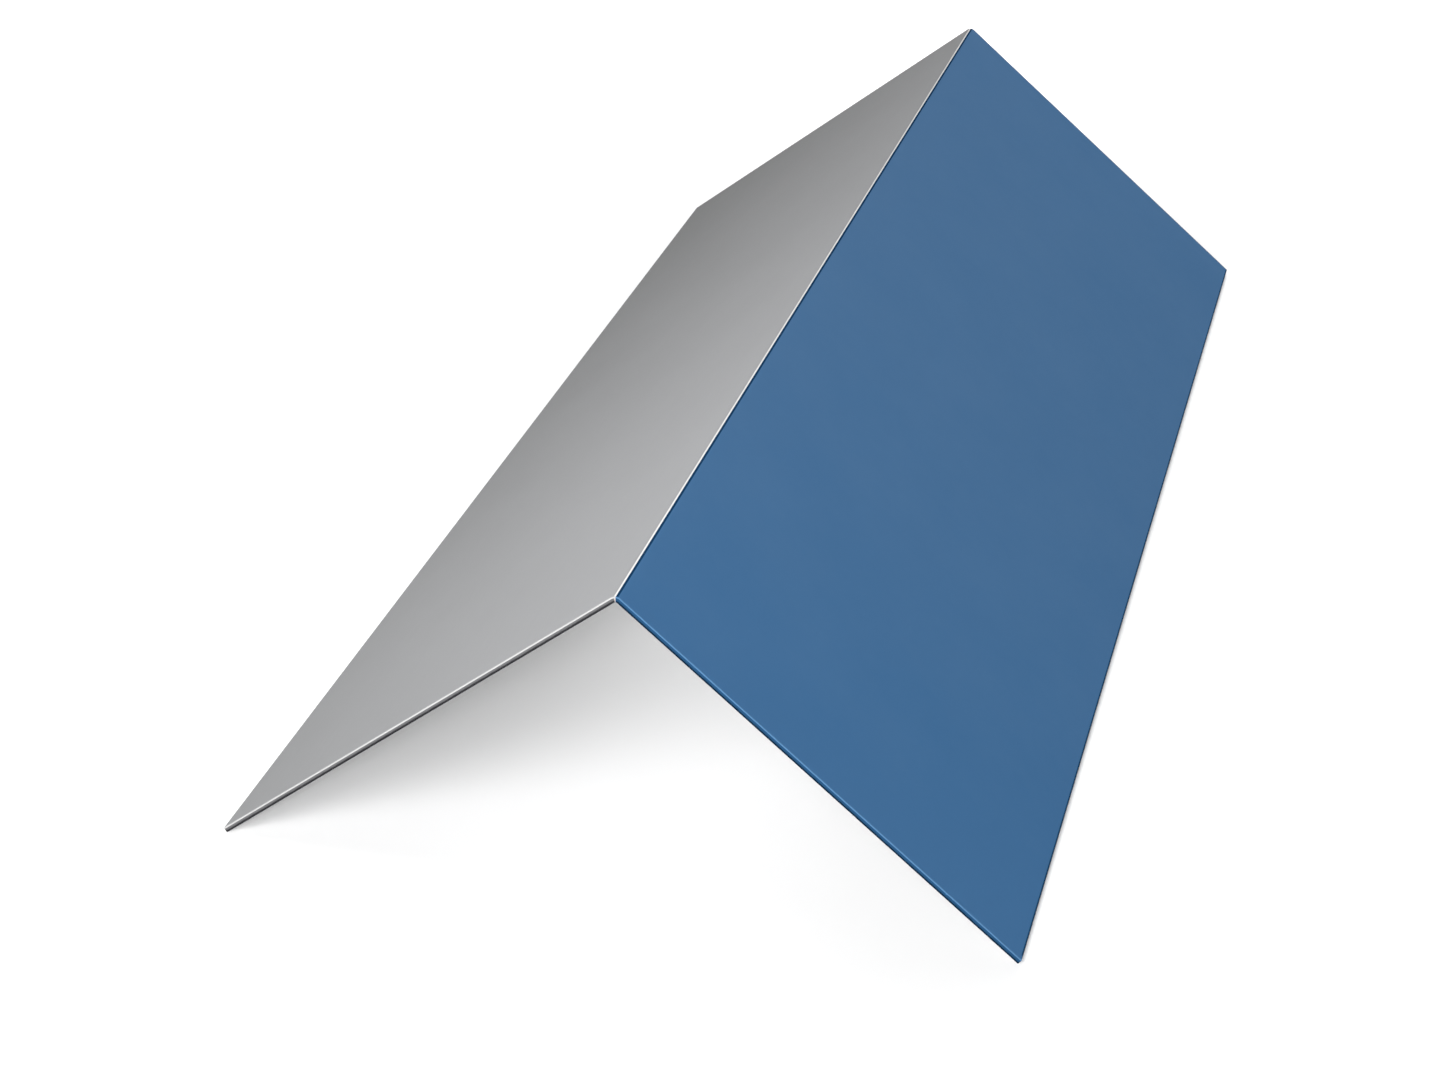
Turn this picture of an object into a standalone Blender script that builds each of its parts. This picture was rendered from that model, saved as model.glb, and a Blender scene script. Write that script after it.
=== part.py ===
"""Ridge cap: one straight length of flat sheet, folded once along its middle.

The cap stands on the lower edges of its two legs. X runs across it, Y along the ridge, and Z up.
The origin is on the floor, under the ridge, at half the length. All sizes are in metres.
"""

from math import cos, pi, radians, sin

import bmesh
import bpy

# Driving dimensions
LENGTH = 0.500              # along the ridge
LEG_WIDTH = 0.140           # outer face of each leg, from the sharp corner of the fold to the lower edge
OPENING_ANGLE = radians(102)  # between the two legs, on the underside
SHEET_THICKNESS = 0.0016
FOLD_INNER_RADIUS = 0.0005  # the nose of the folding tool
ARRIS_RADIUS = 0.0003       # the deburred corners of the cut edges

FOLD_STEPS = 10             # flat strips that make up the fold's arc
ARRIS_STEPS = 2

# What follows from them
HALF_ANGLE = OPENING_ANGLE / 2              # from the vertical down to a leg
TURN_ANGLE = pi - OPENING_ANGLE             # how far the sheet was turned at the fold
FOLD_OUTER_RADIUS = FOLD_INNER_RADIUS + SHEET_THICKNESS
ARRIS_WIDTH = min(ARRIS_RADIUS, 0.45 * SHEET_THICKNESS)  # two arrises share each cut edge

# The cap stands on the underside's lower arris, which sets the height of the fold's sharp corner.
# The arris is an arc of two facets, and the middle one of its points is the lowest.
ARRIS_LIFT = ARRIS_WIDTH * (sin(HALF_ANGLE) + cos(HALF_ANGLE) - cos(HALF_ANGLE - pi / 4))
APEX_HEIGHT = LEG_WIDTH * cos(HALF_ANGLE) + SHEET_THICKNESS * sin(HALF_ANGLE) - ARRIS_LIFT


def leg_point(side, distance):
    """A point (x, z) on a leg's outer face, at a distance from the sharp corner. side is -1 or 1."""
    return side * distance * sin(HALF_ANGLE), APEX_HEIGHT - distance * cos(HALF_ANGLE)


def fold_points():
    """Points (x, z) on the fold's outer arc, from the left leg over the top to the right leg."""
    centre_height = APEX_HEIGHT - FOLD_OUTER_RADIUS / sin(HALF_ANGLE)
    points = []
    for step in range(FOLD_STEPS + 1):
        lean = TURN_ANGLE * (step / FOLD_STEPS - 0.5)  # of the radius, from the vertical
        points.append(
            (FOLD_OUTER_RADIUS * sin(lean), centre_height + FOLD_OUTER_RADIUS * cos(lean))
        )
    return points


def outer_profile():
    """The outer face's outline across the cap, from one lower edge over the ridge to the other."""
    return [leg_point(-1, LEG_WIDTH), *fold_points(), leg_point(1, LEG_WIDTH)]


def folded_surface():
    """The outer face of the folded sheet as a mesh: the profile at one end, drawn out along Y."""
    shape = bmesh.new()
    start = [shape.verts.new((x, -LENGTH / 2, z)) for x, z in outer_profile()]
    edges = [shape.edges.new(pair) for pair in zip(start, start[1:])]
    drawn = bmesh.ops.extrude_edge_only(shape, edges=edges)
    ends = [item for item in drawn["geom"] if isinstance(item, bmesh.types.BMVert)]
    bmesh.ops.translate(shape, verts=ends, vec=(0, LENGTH, 0))
    bmesh.ops.recalc_face_normals(shape, faces=shape.faces)
    top = max(shape.faces, key=lambda face: face.calc_center_median().z)
    if top.normal.z < 0:
        bmesh.ops.reverse_faces(shape, faces=shape.faces)
    mesh = bpy.data.meshes.new("ridge_cap")
    shape.to_mesh(mesh)
    shape.free()
    return mesh


def coated_sheet():
    """The cap's material: sheet with a satin blue coat."""
    material = bpy.data.materials.new("blue_coated_sheet")
    material.use_nodes = True
    shader = material.node_tree.nodes["Principled BSDF"]
    shader.inputs["Base Color"].default_value = (0.056, 0.150, 0.305, 1.0)
    shader.inputs["Roughness"].default_value = 0.45
    shader.inputs["Metallic"].default_value = 0.0
    return material


def ridge_cap():
    """The folded sheet: its outer face, given its thickness inwards, with the cut edges deburred."""
    cap = bpy.data.objects.new("ridge_cap", folded_surface())
    bpy.context.scene.collection.objects.link(cap)
    cap.data.materials.append(coated_sheet())

    thickness = cap.modifiers.new("sheet_thickness", "SOLIDIFY")
    thickness.thickness = SHEET_THICKNESS
    thickness.offset = -1.0
    thickness.use_even_offset = True

    arris = cap.modifiers.new("arris", "BEVEL")
    arris.width = ARRIS_WIDTH
    arris.segments = ARRIS_STEPS
    arris.limit_method = "ANGLE"
    arris.angle_limit = radians(60)
    arris.use_clamp_overlap = False

    cap.data.shade_smooth()
    cap.data.set_sharp_from_angle(angle=radians(30))
    return cap


for left_over in list(bpy.data.objects):
    bpy.data.objects.remove(left_over)
ridge_cap()
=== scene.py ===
# %% [markdown]
# # A folded ridge cap
# A ridge cap covers the joint along the top of a roof. It is one length of sheet metal, sheared to
# size and folded once along its middle. One leg of this one keeps its bare mill finish and the other
# wears a blue coat. Nothing is bolted on, so the whole likeness rests on four finishes and on the
# small radii where they meet.

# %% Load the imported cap
from math import cos, pi, radians, sin, tan

import bmesh
import bpy
import numpy as np
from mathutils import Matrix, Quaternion, Vector


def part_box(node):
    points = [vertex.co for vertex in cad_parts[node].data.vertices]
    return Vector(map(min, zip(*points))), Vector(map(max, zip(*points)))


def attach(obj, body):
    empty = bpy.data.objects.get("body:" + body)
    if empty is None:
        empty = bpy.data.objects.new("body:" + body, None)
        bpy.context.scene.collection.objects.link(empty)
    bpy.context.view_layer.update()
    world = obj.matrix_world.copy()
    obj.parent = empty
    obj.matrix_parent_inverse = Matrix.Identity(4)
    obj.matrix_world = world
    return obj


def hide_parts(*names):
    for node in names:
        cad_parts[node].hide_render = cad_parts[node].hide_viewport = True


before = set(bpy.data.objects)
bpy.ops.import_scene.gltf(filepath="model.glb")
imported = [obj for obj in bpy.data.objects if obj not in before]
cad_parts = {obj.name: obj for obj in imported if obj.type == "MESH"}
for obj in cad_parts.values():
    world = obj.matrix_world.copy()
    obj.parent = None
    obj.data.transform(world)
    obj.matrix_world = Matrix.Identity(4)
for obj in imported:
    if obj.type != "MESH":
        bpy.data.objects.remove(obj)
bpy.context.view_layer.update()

# %% [markdown]
# ## The camera
# The near end of the cap looks larger than the far end, so the camera stands close. Its place was
# worked out from the six corners of the outline: for a cap of this size only one place and one focal
# length put them where they are seen. It looks down at 27 degrees and leans slightly.

# %% Set up the camera
CAMERA_PLACE = Vector((0.1834, -0.9003, 0.4442))
CAMERA_TARGET = Vector((-0.0254, -0.0322, -0.0054))
CAMERA_LEAN = radians(1.81)
FOCAL_LENGTH = 76.3
SENSOR_WIDTH = 36.0

camera = bpy.data.objects.new("camera", bpy.data.cameras.new("camera"))
camera.data.lens = FOCAL_LENGTH
camera.data.sensor_width = SENSOR_WIDTH
camera.data.clip_start = 0.01
camera.data.clip_end = 50.0
camera.location = CAMERA_PLACE
camera.rotation_mode = "QUATERNION"
lean = Quaternion((0, 0, 1), CAMERA_LEAN)
camera.rotation_quaternion = (CAMERA_TARGET - CAMERA_PLACE).to_track_quat("-Z", "Y") @ lean
bpy.context.scene.collection.objects.link(camera)
bpy.context.scene.camera = camera
print("camera distance, in m:", round((CAMERA_TARGET - CAMERA_PLACE).length, 3))

# %% [markdown]
# ## Writing materials as expressions
# A node tree is hard to read as a list of nodes and links. The class below wraps one socket, so that
# shader maths reads as maths: `1 - mask * 0.3` adds the Math nodes it needs. Any other node comes from
# one method, which takes the node's type, its settings and what goes into its sockets.

# %% Wrap a socket
class Signal:
    """What comes out of a socket of a material's node tree."""

    def __init__(self, tree, socket=None):
        self.tree = tree
        self.socket = socket

    def node(self, kind, settings, sockets, output=0):
        """Adds a node of a kind. Its settings are set first, then its sockets, by name or number."""
        made = self.tree.nodes.new(kind)
        for name, value in settings.items():
            setattr(made, name, value)
        for key, value in sockets.items():
            if isinstance(value, Signal):
                self.tree.links.new(value.socket, made.inputs[key])
            else:
                made.inputs[key].default_value = value
        return Signal(self.tree, made.outputs[output])

    def maths(self, operation, *values):
        """What a Math node makes of Signals or plain numbers."""
        return self.node("ShaderNodeMath", {"operation": operation}, dict(enumerate(values)))

    def __add__(self, other):
        return self.maths("ADD", self, other)

    def __sub__(self, other):
        return self.maths("SUBTRACT", self, other)

    def __rsub__(self, other):
        return self.maths("SUBTRACT", other, self)

    def __mul__(self, other):
        return self.maths("MULTIPLY", self, other)

    __radd__ = __add__
    __rmul__ = __mul__

    def below(self, limit, softness):
        """1 well below the limit and 0 well above it, with a smooth step between."""
        return self.node(
            "ShaderNodeMapRange",
            {"interpolation_type": "SMOOTHSTEP"},
            {"Value": self - limit, "From Min": -softness, "From Max": softness,
             "To Min": 1.0, "To Max": 0.0},
        )

    def mix(self, first, second, share):
        """The first colour turned into the second one, by a share from 0 to 1."""
        return self.node("ShaderNodeMix", {"data_type": "RGBA"}, {0: share, 6: first, 7: second}, 2)


# %% Start a material
def new_material(name):
    """A material with one Principled shader, and a Signal to build its nodes from."""
    material = bpy.data.materials.new(name)
    material.use_nodes = True
    return material, Signal(material.node_tree), material.node_tree.nodes["Principled BSDF"]


def feed(shader, name, value):
    """Puts a Signal or a plain value into one of the shader's sockets."""
    if isinstance(value, Signal):
        value.tree.links.new(value.socket, shader.inputs[name])
    else:
        shader.inputs[name].default_value = value


# %% [markdown]
# ## The studio
# Small goods are photographed on a lit table, a white sheet with lamps under it that bends up into a
# wall behind them. Here it glows least under the cap, more round it and most at the wall, so that the
# cap stands before plain white from every side. The weaker glow under the cap is painted shade.
# Distances are stretched across the cap, which makes the glow follow its footprint. The sheet is a
# line of places outwards and up, carried once round the middle.

# %% Join points into faces
def grid_faces(rows, columns):
    """Four-sided faces between neighbouring rows of points, closed round the columns."""
    row, column = np.meshgrid(np.arange(rows - 1), np.arange(columns), indexing="ij")
    beside = (column + 1) % columns
    corners = [row * columns + column, row * columns + beside,
               (row + 1) * columns + beside, (row + 1) * columns + column]
    return np.stack(corners, axis=-1).reshape(-1, 4)


# %% Lay the lit sheet
FLAT_REACH = 3.0
BEND_RADIUS = 1.2
WALL_HEIGHT = 1.8
BEND_STEPS = 12
CORNERS_ROUND = 96

bend = np.linspace(0, pi / 2, BEND_STEPS + 1)
outwards = np.append(FLAT_REACH + BEND_RADIUS * np.sin(bend), FLAT_REACH + BEND_RADIUS)[:, None]
upwards = np.append(BEND_RADIUS * (1 - np.cos(bend)), WALL_HEIGHT)[:, None]
turn = np.linspace(0, -2 * pi, CORNERS_ROUND, endpoint=False)
places = np.stack([outwards * np.cos(turn), outwards * np.sin(turn), upwards + 0 * turn], axis=-1)
middle_face = list(reversed(range(CORNERS_ROUND)))
floor_faces = [middle_face, *grid_faces(len(outwards), CORNERS_ROUND).tolist()]

floor_mesh = bpy.data.meshes.new("studio_floor")
floor_mesh.from_pydata(places.reshape(-1, 3).tolist(), [], floor_faces)
floor_mesh.shade_smooth()
floor = bpy.data.objects.new("studio_floor", floor_mesh)
bpy.context.scene.collection.objects.link(floor)
print("corners of the studio's sheet:", len(floor_mesh.vertices))

# %% Make the sheet glow
PAPER_WHITE = (0.80, 0.80, 0.80, 1.0)
PAPER_GLOW = 0.16
TABLE_GLOW = 0.17
WALL_GLOW = 0.35
SHADE_REACH = 0.39
SHADE_BLUR = 0.12
WALL_START = 2.1
WALL_BLUR = 0.3
FOOTPRINT_SCALE = (1.7, 1.0, 1.0)

paper, start, paper_shader = new_material("white_paper")
place = start.node("ShaderNodeTexCoord", {}, {}, "Object")
scaled = place.node("ShaderNodeVectorMath", {"operation": "MULTIPLY"}, {0: place, 1: FOOTPRINT_SCALE})
distance = place.node("ShaderNodeVectorMath", {"operation": "LENGTH"}, {0: scaled}, "Value")
# The glow is weakest under the cap: painted shade in the shape of its footprint.
glow = PAPER_GLOW + (1 - distance.below(SHADE_REACH, SHADE_BLUR)) * TABLE_GLOW
glow = glow + (1 - distance.below(WALL_START, WALL_BLUR)) * WALL_GLOW
feed(paper_shader, "Base Color", PAPER_WHITE)
feed(paper_shader, "Roughness", 0.9)
feed(paper_shader, "Specular IOR Level", 0.1)
feed(paper_shader, "Emission Color", glow)
feed(paper_shader, "Emission Strength", 1.0)
floor_mesh.materials.append(paper)

# %% [markdown]
# Five lamps do the rest, and the room stays almost dark, because light from all round would fill the
# hollow under the cap. Three stand in front at different distances, which makes the cap darken away
# from them. The small one at the left lifts the near end of the bare leg, and the low one behind
# shines in under the cap and turns the shade there into a soft grey.


# %% Light the room
def softbox(name, place, aim, size, power):
    """A square light with its face turned to a point. It lights things, but isn't seen itself."""
    lamp = bpy.data.lights.new(name, "AREA")
    lamp.size = size
    lamp.energy = power
    light = bpy.data.objects.new(name, lamp)
    light.location = place
    light.rotation_mode = "QUATERNION"
    light.rotation_quaternion = (Vector(aim) - Vector(place)).to_track_quat("-Z", "Y")
    light.visible_camera = False
    bpy.context.scene.collection.objects.link(light)
    return light


ROOM_LIGHT = 0.01
room = bpy.data.worlds.new("dim_room")
room.use_nodes = True
room.node_tree.nodes["Background"].inputs["Color"].default_value = (1.0, 1.0, 1.0, 1.0)
room.node_tree.nodes["Background"].inputs["Strength"].default_value = ROOM_LIGHT
bpy.context.scene.world = room
bpy.context.scene.view_settings.view_transform = "Standard"

NEAR_END = (0.0, -0.25, 0.05)
softbox("near_lamp", (-0.212, -1.041, 0.624), NEAR_END, 0.40, 7.3)
softbox("side_lamp", (-0.222, -0.211, 0.318), NEAR_END, 0.16, 0.31)
softbox("front_lamp", (0.191, -2.067, 0.863), NEAR_END, 0.30, 23.6)
softbox("high_lamp", (0.0, -1.927, 1.139), NEAR_END, 0.40, 6.7)
softbox("low_lamp", (0.0, 2.18, 0.31), (0.0, 0.0, 0.03), 0.40, 118.0)

# %% [markdown]
# ## The sheet
# The visible sheet repeats the solid's sizes. What follows from the solid's box is taken from there,
# and the four values that a box can't tell are named here.

# %% Name the sheet's sizes
OPENING_ANGLE = radians(102)
SHEET_THICKNESS = 0.0016
FOLD_INNER_RADIUS = 0.0005
ARRIS_RADIUS = 0.0003

low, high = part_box("ridge_cap")
LENGTH = high.y - low.y
HALF_ANGLE = OPENING_ANGLE / 2
HALF_TURN = pi / 2 - HALF_ANGLE
FOLD_OUTER_RADIUS = FOLD_INNER_RADIUS + SHEET_THICKNESS
FOLD_CENTRE = high.z - FOLD_OUTER_RADIUS
FOLD_HALF_ARC = FOLD_OUTER_RADIUS * HALF_TURN
arris_gap = ARRIS_RADIUS * (sin(HALF_ANGLE) + cos(HALF_ANGLE) - 1)
LEG_WIDTH = (high.x + arris_gap) / sin(HALF_ANGLE)
FLAT_WIDTH = LEG_WIDTH - FOLD_OUTER_RADIUS * tan(HALF_TURN)
HALF_BLANK = FOLD_HALF_ARC + FLAT_WIDTH
print("leg and half of the flat blank, in mm:", round(1000 * LEG_WIDTH, 2), round(1000 * HALF_BLANK, 2))


# %% [markdown]
# ## Folding the blank
# The cap starts as a flat blank, and so does its surface here. A point of the blank has a place
# across it, a depth below its upper face and a place along it. The fold carries the depth round a
# common centre, so the sheet keeps its thickness through the bend. The alternative, a sharp mesh with
# a bevel on it, gives no coordinate that follows the sheet, and the finishes need one.

# %% Fold points and directions
def fold(across, depth):
    """Where the fold puts points of the blank, as x and z.

    On the arc a point turns about the fold's centre by its distance across, divided by the outer
    radius, at the outer radius less its depth. Past the arc it goes straight on down the leg.
    """
    turned = np.clip(across / FOLD_OUTER_RADIUS, -HALF_TURN, HALF_TURN)
    straight = across - turned * FOLD_OUTER_RADIUS
    radius = FOLD_OUTER_RADIUS - depth
    x = radius * np.sin(turned) + straight * np.cos(turned)
    z = FOLD_CENTRE + radius * np.cos(turned) - straight * np.sin(turned)
    return x, z


def fold_direction(across, side, up):
    """The blank's directions, sideways and up, as the fold turns them into x and z."""
    turned = np.clip(across / FOLD_OUTER_RADIUS, -HALF_TURN, HALF_TURN)
    return side * np.cos(turned) + up * np.sin(turned), up * np.cos(turned) - side * np.sin(turned)


# %% [markdown]
# Round the blank runs one closed line: over the upper face, round two arrises and a cut edge, back
# under the sheet and up again. Each of its points is a point of a smaller core and a direction in
# which the arris radius stands off from it. Carried along the cap, with the radius shrinking to
# nothing over the last third of a millimetre, that line makes the whole sheet with every arris round.

# %% Draw the line round the blank
FLAT_STEPS = 44
FOLD_STEPS = 26
ARRIS_STEPS = 6

core_across = HALF_BLANK - ARRIS_RADIUS
core_depth = np.array([ARRIS_RADIUS, SHEET_THICKNESS - ARRIS_RADIUS])
flat_places = np.linspace(FOLD_HALF_ARC, core_across, FLAT_STEPS + 1)[1:]
fold_places = np.linspace(-FOLD_HALF_ARC, FOLD_HALF_ARC, FOLD_STEPS + 1)
face_places = np.concatenate([-flat_places[::-1], fold_places, flat_places])
quarter = np.linspace(0, pi / 2, ARRIS_STEPS + 1)


def edge_line(side):
    """Core places, depths and directions round one cut edge, from the upper face to the underside."""
    down = np.concatenate([quarter, pi / 2 + quarter])
    depths = np.repeat(core_depth, len(quarter))
    return np.stack([side * core_across + 0 * down, depths, side * np.sin(down), np.cos(down)])


upper = np.stack([face_places, 0 * face_places + core_depth[0], 0 * face_places, 0 * face_places + 1])
under = np.stack([face_places, 0 * face_places + core_depth[1], 0 * face_places, 0 * face_places - 1])
right = edge_line(1)[:, 1:-1]
left = edge_line(-1)[:, 1:-1]
loop = np.concatenate([upper, right, under[:, ::-1], left[:, ::-1]], axis=1)
print("points round the blank:", loop.shape[1])

# %% Carry the line along the cap
LENGTH_STEPS = 96

end_turn = np.concatenate([-quarter[::-1], np.zeros(LENGTH_STEPS - 1), quarter])
core_end = LENGTH / 2 - ARRIS_RADIUS
core_along = np.concatenate([
    0 * quarter - core_end,
    np.linspace(-core_end, core_end, LENGTH_STEPS + 1)[1:-1],
    0 * quarter + core_end,
])

stand_off = ARRIS_RADIUS * np.cos(end_turn)[:, None]
across = loop[0] + stand_off * loop[2]
depth = loop[1] - stand_off * loop[3]
along = core_along[:, None] + ARRIS_RADIUS * np.sin(end_turn)[:, None] + 0 * across
x, z = fold(across, depth)
points = np.stack([x, along, z], axis=-1)

side_x, up_z = fold_direction(across, loop[2], loop[3])
shrink = np.cos(end_turn)[:, None]
normals = np.stack([side_x * shrink, np.sin(end_turn)[:, None] + 0 * x, up_z * shrink], axis=-1)


# %% Join the points into faces
def end_faces(row, is_near):
    """Faces that close an end: each joins a step of the upper line to the same step underneath."""
    columns = loop.shape[1]
    step = np.arange(len(face_places) - 1)
    first_under = len(face_places) + right.shape[1]
    opposite = first_under + len(face_places) - 1 - step
    corners = np.stack([step, step + 1, opposite - 1, opposite], axis=-1) + row * columns
    return corners[:, ::-1] if is_near else corners


rows, columns = across.shape
faces = np.concatenate([grid_faces(rows, columns), end_faces(0, True), end_faces(rows - 1, False)])
print("points and faces:", rows * columns, len(faces))

# %% [markdown]
# ## From points to a piece
# At each end the closing rows run together in a point at the four corners of the core, so those
# points are merged. The true directions are kept as custom normals: Blender's own would be averaged
# over the large flat faces, and the light would then bend near every edge. Each point also remembers
# its place on the flat blank, which the finishes below read.

# %% Sort the faces by finish
FINISHES = ["mill_finish", "blue_coat", "sheared_edge", "coated_edge"]


def grid_finishes():
    """The number of the finish on each face of the grid, in the order of the faces."""
    upper_steps = len(face_places) - 1
    edge_steps = right.shape[1] + 1
    is_edge = np.repeat([False, True, False, True], [upper_steps, edge_steps, upper_steps, edge_steps])
    is_under = np.repeat([False, True, False], [upper_steps + edge_steps, upper_steps, edge_steps])
    ring = np.arange(rows - 1)[:, None]
    at_end = (ring < ARRIS_STEPS) | (ring >= rows - 1 - ARRIS_STEPS)
    middle = (loop[0] + np.roll(loop[0], -1)) / 2
    edge = at_end | is_edge
    coated = (middle > 0) & (edge | ~is_under)
    return (2 * edge + coated).ravel()


def end_finishes():
    """The same for the faces that close one end."""
    middle = (face_places[:-1] + face_places[1:]) / 2
    return 2 + (middle > 0)


finishes = np.concatenate([grid_finishes(), end_finishes(), end_finishes()])
print("faces of each finish:", dict(zip(FINISHES, np.bincount(finishes).tolist())))

# %% Make the mesh
WELD_REACH = 1e-6

blank = np.stack([across, along, depth], axis=-1)
mesh = bpy.data.meshes.new("folded_sheet")
mesh.from_pydata(points.reshape(-1, 3).tolist(), [], faces.tolist())
mesh.polygons.foreach_set("material_index", finishes.astype(np.int32))
for name, vectors in (("blank", blank), ("facing", normals)):
    mesh.attributes.new(name, "FLOAT_VECTOR", "POINT").data.foreach_set("vector", vectors.ravel())

work = bmesh.new()
work.from_mesh(mesh)
bmesh.ops.remove_doubles(work, verts=work.verts, dist=WELD_REACH)
print("edges that are open or turned over:", sum(not edge.is_contiguous for edge in work.edges))
print("volume, in cm3:", round(1e6 * work.calc_volume(signed=True), 2))
work.to_mesh(mesh)
work.free()

facing = np.empty(3 * len(mesh.vertices), np.float32)
mesh.attributes["facing"].data.foreach_get("vector", facing)
mesh.attributes.remove(mesh.attributes["facing"])
mesh.shade_smooth()
mesh.normals_split_custom_set_from_vertices(facing.reshape(-1, 3).tolist())

# %% Put the sheet in the place of the solid
sheet = bpy.data.objects.new("folded_sheet", mesh)
bpy.context.scene.collection.objects.link(sheet)
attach(sheet, "root")
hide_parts("ridge_cap")

# %% [markdown]
# ## Reading the blank
# Every finish is laid out on the flat blank, so a pattern follows the sheet over the fold instead of
# cutting through it. Patterns are noises of a named size in metres, centred on zero.

# %% Read places and noises
def blank_places(start):
    """The blank's places as one vector, and the distances across, along and deep as numbers."""
    place = start.node("ShaderNodeAttribute", {"attribute_name": "blank"}, {}, "Vector")
    return place, *(place.node("ShaderNodeSeparateXYZ", {}, {0: place}, part) for part in range(3))


def noise(place, size, stretch=(1, 1, 1), detail=2.0):
    """Noise of a size in metres, from about -0.5 to 0.5, longer along the axes with a small stretch."""
    moved = place.node("ShaderNodeMapping", {}, {"Vector": place, "Scale": stretch})
    sockets = {"Vector": moved, "Scale": 1 / size, "Detail": detail}
    return place.node("ShaderNodeTexNoise", {}, sockets, "Fac") - 0.5


def to_cut_edge(across, along):
    """The distance to the nearest cut edge."""
    beside = HALF_BLANK - across.maths("ABSOLUTE", across)
    beyond = LENGTH / 2 - along.maths("ABSOLUTE", along)
    return beside.maths("MINIMUM", beside, beyond)


def relief(start, height, distance, strength):
    """A bump of a height from 0 to 1, as deep as the distance in metres."""
    return start.node(
        "ShaderNodeBump", {}, {"Height": height, "Distance": distance, "Strength": strength}, "Normal"
    )


# %% [markdown]
# ## Mill finish
# The bare leg is sheet as it left the rolls: a satin grey, with faint streaks along the rolling
# direction and broad soft patches. Painted shade makes it a little darker towards its ends, the far
# one most, and towards its lower edge. A painted highlight runs along the crest of the fold, and
# painted shade darkens a thin rim along every cut edge but the near one.

# %% Finish the bare leg
BARE_DARK = (0.226, 0.228, 0.230, 1.0)
BARE_LIGHT = (0.350, 0.353, 0.361, 1.0)
# The colour of the painted highlight on the crest.
PAINTED_CREST_HIGHLIGHT = (0.75, 0.745, 0.74, 1.0)
CREST_WIDTH = 0.0005
RIM_WIDTH = 0.0006
NEAR_STRIP = 0.002


def far_rim_painted_shade(across, along):
    """1 within a rim's width of every cut edge but the near one: a mask of painted shade."""
    near = along.below(NEAR_STRIP - LENGTH / 2, 0.0005)
    return to_cut_edge(across, along).below(RIM_WIDTH, 0.0001) * (1 - near)


def mill_finish():
    """Grey, palest along the near half of the ridge by painted shade, with streaks, a painted crest
    highlight and painted shade on the far rims.
    """
    material, start, shader = new_material("mill_finish")
    place, across, along, depth = blank_places(start)
    patches = noise(place, size=0.045)
    streaks = noise(place, size=0.0006, stretch=(1, 0.02, 1))
    grain = noise(place, size=0.0005, detail=1.0)
    # Painted shade: darker towards the lower edge and the ends, most of all at the far end.
    painted_shade_to_rim = across.maths("ABSOLUTE", across) * (0.40 / HALF_BLANK)
    painted_shade_to_ends = along * (0.32 / LENGTH) + along * along * (1.0 / LENGTH ** 2)
    tone_and_painted_shade = 0.77 - painted_shade_to_rim - painted_shade_to_ends + patches * 0.15 + streaks * 0.10
    face = start.mix(BARE_DARK, BARE_LIGHT, tone_and_painted_shade)
    # A painted highlight along the crest of the fold, on the upper half of the sheet.
    crest = (0 - across).below(CREST_WIDTH, 0.00005) * depth.below(SHEET_THICKNESS / 2, 0.0001)
    colour = start.mix(face, PAINTED_CREST_HIGHLIGHT, crest)
    # Painted shade along every cut edge but the near one.
    colour = start.mix(colour, BARE_DARK, far_rim_painted_shade(across, along) * 0.8)
    feed(shader, "Base Color", colour)
    feed(shader, "Specular IOR Level", 0.0)
    feed(shader, "Roughness", 0.60 + patches * 0.08 + streaks * 0.06)
    feed(shader, "Normal", relief(start, streaks + grain + 0.5, distance=0.00002, strength=0.5))
    return material


# %% [markdown]
# ## Blue coat
# The coat is a satin paint a few hundredths of a millimetre thick. It is almost even: a painted sheen
# turns it from greener at the near end to greyer further along and towards the crest, over broad
# patches of its own, and the film has the faint peel of sprayed paint. Its first two thirds of a
# millimetre past the crest of the fold are a darker line, and painted shade darkens a thin rim along
# every cut edge but the near one.
#
# The photograph shows no reflection on either face. The lamp behind would draw a pale sheen on them
# at this slant, so both are left without gloss.

# %% Finish the coated leg
BLUE = (0.0525, 0.142, 0.290, 1.0)
# The greyer blue of the painted sheen.
BLUE_GREYER = (0.077, 0.169, 0.317, 1.0)
BLUE_DEEP = (0.008, 0.039, 0.095, 1.0)
CREST_LINE_WIDTH = 0.00065


def blue_coat():
    """Blue that a painted sheen turns greyer, with a faint peel, a dark line at the crest and painted
    shade on the far rims.
    """
    material, start, shader = new_material("blue_coat")
    place, across, along, depth = blank_places(start)
    patches = noise(place, size=0.040)
    cloud = noise(place, size=0.006, detail=3.0)
    peel = noise(place, size=0.0012, detail=1.0)
    # A painted sheen: greyer away from the near end and towards the crest.
    painted_sheen_drift = 0.85 + along * (0.9 / LENGTH) - across * (0.3 / HALF_BLANK)
    painted_sheen_drift = painted_sheen_drift - along * along * (1.2 / LENGTH ** 2)
    face = start.mix(BLUE, BLUE_GREYER, painted_sheen_drift + patches * 0.5 + cloud * 0.2)
    # A darker line along the coat's first two thirds of a millimetre past the crest.
    dark_crest_line = across.below(CREST_LINE_WIDTH, 0.00008)
    colour = start.mix(face, BLUE_DEEP, dark_crest_line)
    # Painted shade along every cut edge but the near one.
    colour = start.mix(colour, BLUE_DEEP, far_rim_painted_shade(across, along) * 0.9)
    feed(shader, "Base Color", colour)
    feed(shader, "Specular IOR Level", 0.0)
    feed(shader, "Roughness", 0.45 + patches * 0.08)
    feed(shader, "Normal", relief(start, peel + 0.5, distance=0.00002, strength=0.4))
    return material
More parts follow.
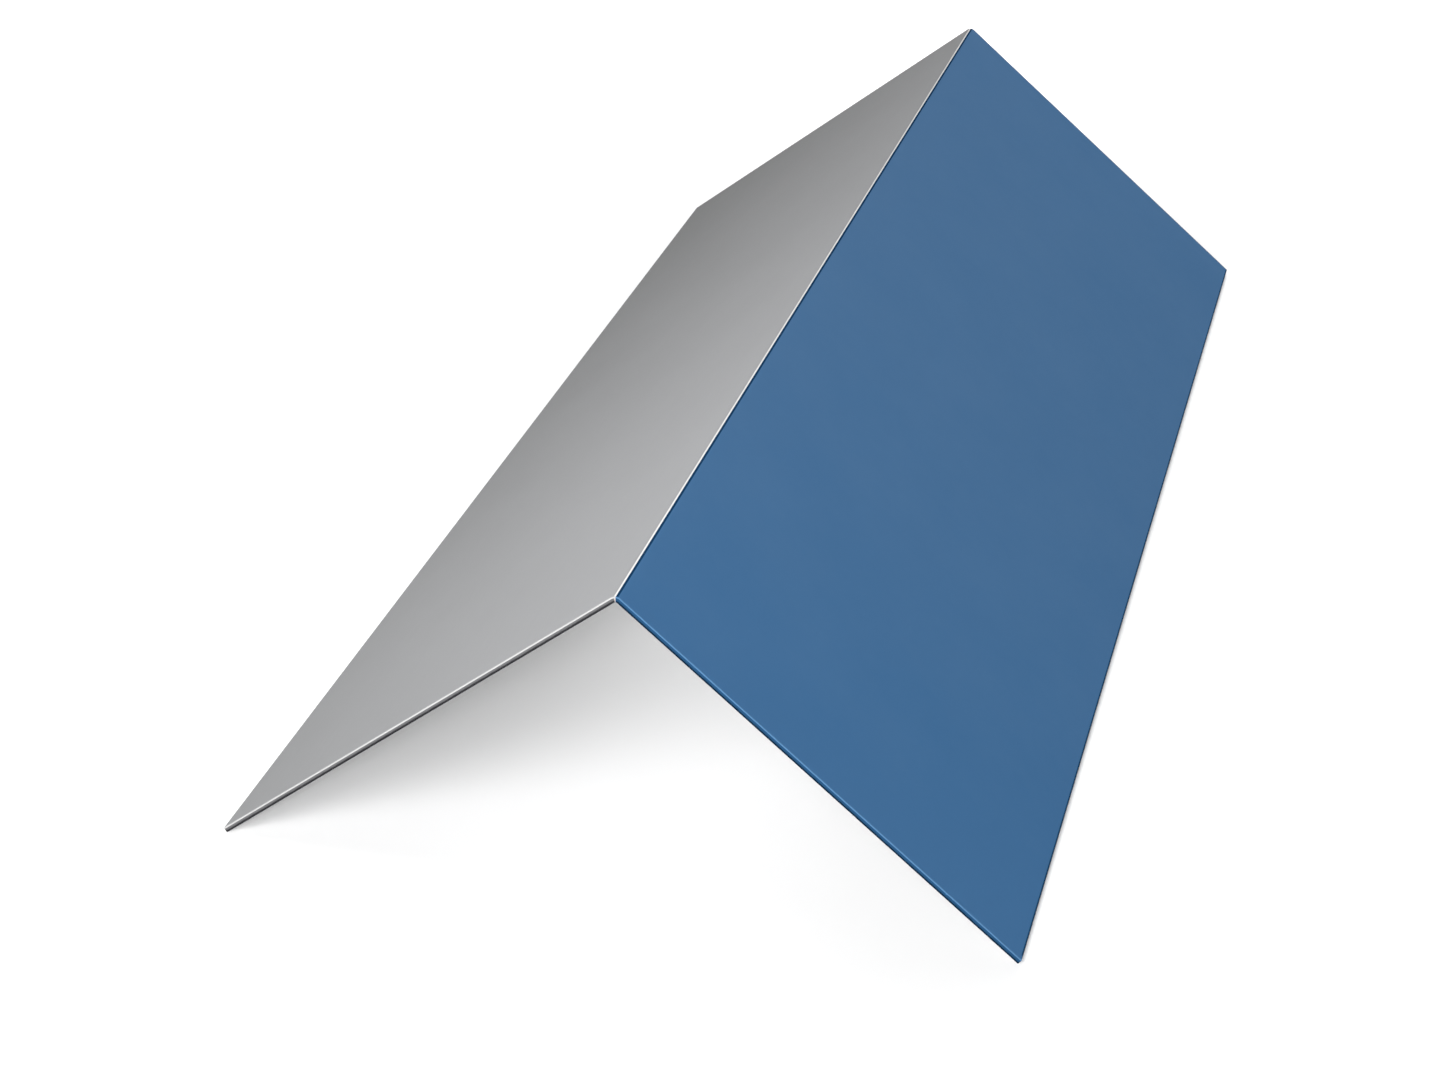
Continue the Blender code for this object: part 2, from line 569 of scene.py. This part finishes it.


# %% [markdown]
# ## Cut edges
# A shear leaves two bands on a cut edge: a smooth one where the blade went in and a matt, rough one
# where the metal tore. Above them, the arris of the near end carries a painted highlight, and the
# others painted shade. On the bare leg a painted highlight carries the crest highlight over the cut
# end. The same bands show in blues on the coated leg. Paint and torn metal scatter light, so these
# finishes have no gloss.

# %% Name the colours and bands of the cut edges
# Each set gives the near arris a painted highlight colour, the other arrises a painted shade colour and
# the ridge end of the cut a painted highlight colour.
SHEARED = {
    "painted_highlight": (0.395, 0.395, 0.395, 1.0),
    "painted_shade": (0.13, 0.13, 0.13, 1.0),
    "smooth": (0.10, 0.10, 0.103, 1.0),
    "torn": (0.020, 0.020, 0.022, 1.0),
    "ridge_highlight": (0.38, 0.34, 0.33, 1.0),
}
COATED = {
    "painted_highlight": (0.073, 0.170, 0.313, 1.0),
    "painted_shade": (0.004, 0.022, 0.055, 1.0),
    "smooth": (0.014, 0.052, 0.115, 1.0),
    "torn": (0.003, 0.011, 0.026, 1.0),
    "ridge_highlight": (0.014, 0.052, 0.115, 1.0),
}
TEAR_DEPTH = 0.00095
# Width of the painted highlight where the crest meets the cut end.
RIDGE_HIGHLIGHT_WIDTH = 0.00045
# How deep the painted highlight reaches on the near arris, on each edge.
SHEARED_HIGHLIGHT_DEPTH = 0.00038
COATED_HIGHLIGHT_DEPTH = 0.00026
NEAR_CUT = 0.001


# %% Finish the cut edges
def cut_edge(name, colours, near_highlight_depth):
    """Bands by depth: an arris with a painted highlight at the near end and painted shade elsewhere,
    then smooth and torn metal, with a painted highlight at the ridge.
    """
    material, start, shader = new_material(name)
    place, across, along, depth = blank_places(start)
    ragged = noise(place, size=0.0015, stretch=(1, 1, 0.2))
    scores = noise(place, size=0.00025, stretch=(1, 1, 0.12))
    near = along.below(NEAR_CUT - LENGTH / 2, 0.0002)
    cut = depth.below(TEAR_DEPTH + ragged * 0.0003, 0.0002)
    # A painted highlight where the crest meets the cut end.
    ridge_highlight = across.maths("ABSOLUTE", across).below(RIDGE_HIGHLIGHT_WIDTH, 0.0001)
    arris = depth.below(ARRIS_RADIUS + near * (near_highlight_depth - ARRIS_RADIUS), 0.00008)
    # The arris colour: a painted highlight at the near end, painted shade elsewhere.
    arris_painted_light = start.mix(colours["painted_shade"], colours["painted_highlight"], near)
    colour = start.mix(colours["torn"], colours["smooth"], cut + scores * 0.3)
    colour = start.mix(colour, colours["ridge_highlight"], ridge_highlight)
    colour = start.mix(colour, arris_painted_light, arris)
    feed(shader, "Base Color", colour)
    feed(shader, "Specular IOR Level", 0.0)
    feed(shader, "Roughness", 0.6)
    feed(shader, "Normal", relief(start, scores + 0.5, distance=0.00003, strength=0.5))
    return material


mesh.materials.append(mill_finish())
mesh.materials.append(blue_coat())
mesh.materials.append(cut_edge("sheared_edge", SHEARED, SHEARED_HIGHLIGHT_DEPTH))
mesh.materials.append(cut_edge("coated_edge", COATED, COATED_HIGHLIGHT_DEPTH))
print("finishes:", [material.name for material in mesh.materials])
